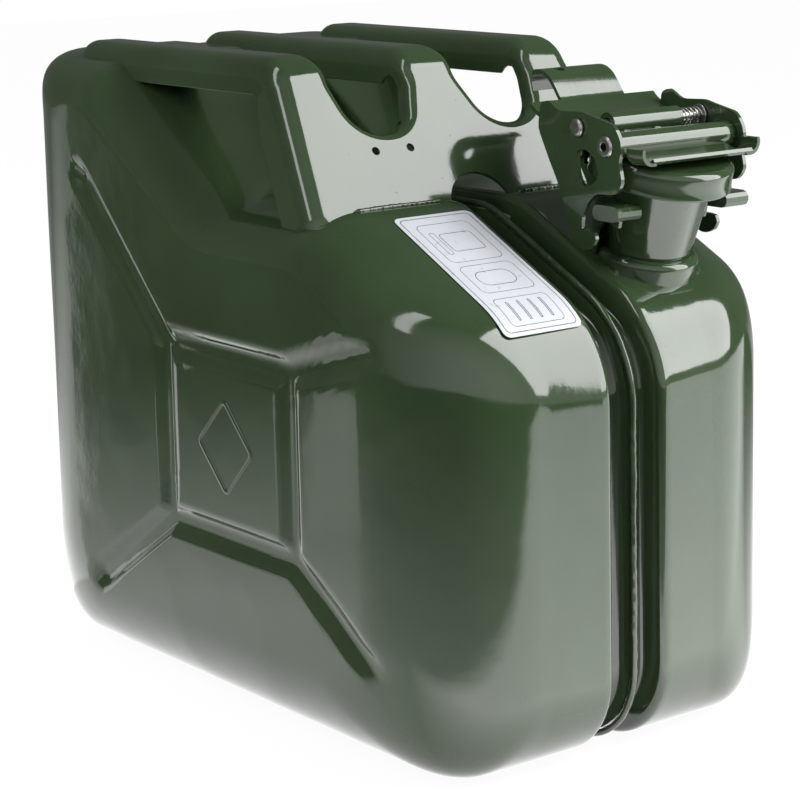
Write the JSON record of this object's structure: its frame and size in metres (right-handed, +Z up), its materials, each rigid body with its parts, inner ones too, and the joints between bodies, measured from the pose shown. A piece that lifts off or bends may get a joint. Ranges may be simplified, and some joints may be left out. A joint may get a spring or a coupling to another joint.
{
  "type": "metal jerry can",
  "caption": "Pressed steel fuel can with a bar handle over a hand hollow and a spout closed by a lever-clamped hinged lid.",
  "frame": {"origin": "centre of the footprint, at the bottom of the can", "axes": "+X along the can towards the spout end, +Y across towards the spout's half, +Z up"},
  "size_m": [0.315, 0.187, 0.2665],
  "materials": {
    "near_shell": "glossy dark green paint",
    "far_shell": "glossy dark green paint",
    "seam_weld": "glossy dark green paint",
    "carry_handle": "glossy dark green paint",
    "filler_neck": "glossy dark green paint",
    "neck_base_ring": "glossy dark green paint",
    "latch_yoke": "glossy dark green paint",
    "breather_tube": "plain zinc-plated steel",
    "breather_clip": "plain zinc-plated steel",
    "cap_hinge_pin": "plain zinc-plated steel",
    "label_sticker": "plain white sticker",
    "cap_lid": "glossy dark green paint",
    "cap_gasket": "matte black rubber",
    "gasket_plate": "plain zinc-plated steel",
    "lid_rivet_near": "plain zinc-plated steel",
    "lid_rivet_far": "plain zinc-plated steel",
    "clamp_plate": "glossy dark green paint",
    "lever_pivot": "plain zinc-plated steel",
    "lever": "glossy dark green paint",
    "pin_spring": "plain zinc-plated steel",
    "lock_pin": "plain zinc-plated steel",
    "pin_clip": "plain zinc-plated steel"
  },
  "bodies": {
    "can": {"near_shell": "near_shell", "far_shell": "far_shell", "seam_weld": "seam_weld", "carry_handle": "carry_handle", "filler_neck": "filler_neck", "neck_base_ring": "neck_base_ring", "latch_yoke": "latch_yoke", "breather_tube": "breather_tube", "breather_clip": "breather_clip", "cap_hinge_pin": "cap_hinge_pin", "label_sticker": "label_sticker"},
    "cap": {"cap_lid": "cap_lid", "cap_gasket": "cap_gasket", "gasket_plate": "gasket_plate", "lid_rivet_near": "lid_rivet_near", "lid_rivet_far": "lid_rivet_far", "clamp_plate": "clamp_plate", "lever_pivot": "lever_pivot"},
    "lever": {"lever": "lever", "pin_spring": "pin_spring"},
    "lock": {"lock_pin": "lock_pin", "pin_clip": "pin_clip"}
  },
  "joints": [
    {"name": "cap_swing", "type": "hinge", "parent": "can", "child": "cap", "pos_m": [0.09538, 0.04, 0.22728], "axis": [0, -1, 0], "range_deg": [0, 75]},
    {"name": "lever_throw", "type": "hinge", "parent": "cap", "child": "lever", "pos_m": [0.13222, 0.04, 0.23325], "axis": [0, 1, 0], "range_deg": [0, 105]},
    {"name": "lock_pin_slide", "type": "slide", "parent": "lever", "child": "lock", "axis": [0, -1, 0], "range_m": [0, 0.005], "stiffness_N_per_m": 300, "springref_m": -0.003, "deforming": ["pin_spring"]}
  ],
  "couplings": [
    {"joint": "lever_throw", "follows": "cap_swing", "ratio": 1.4}
  ]
}
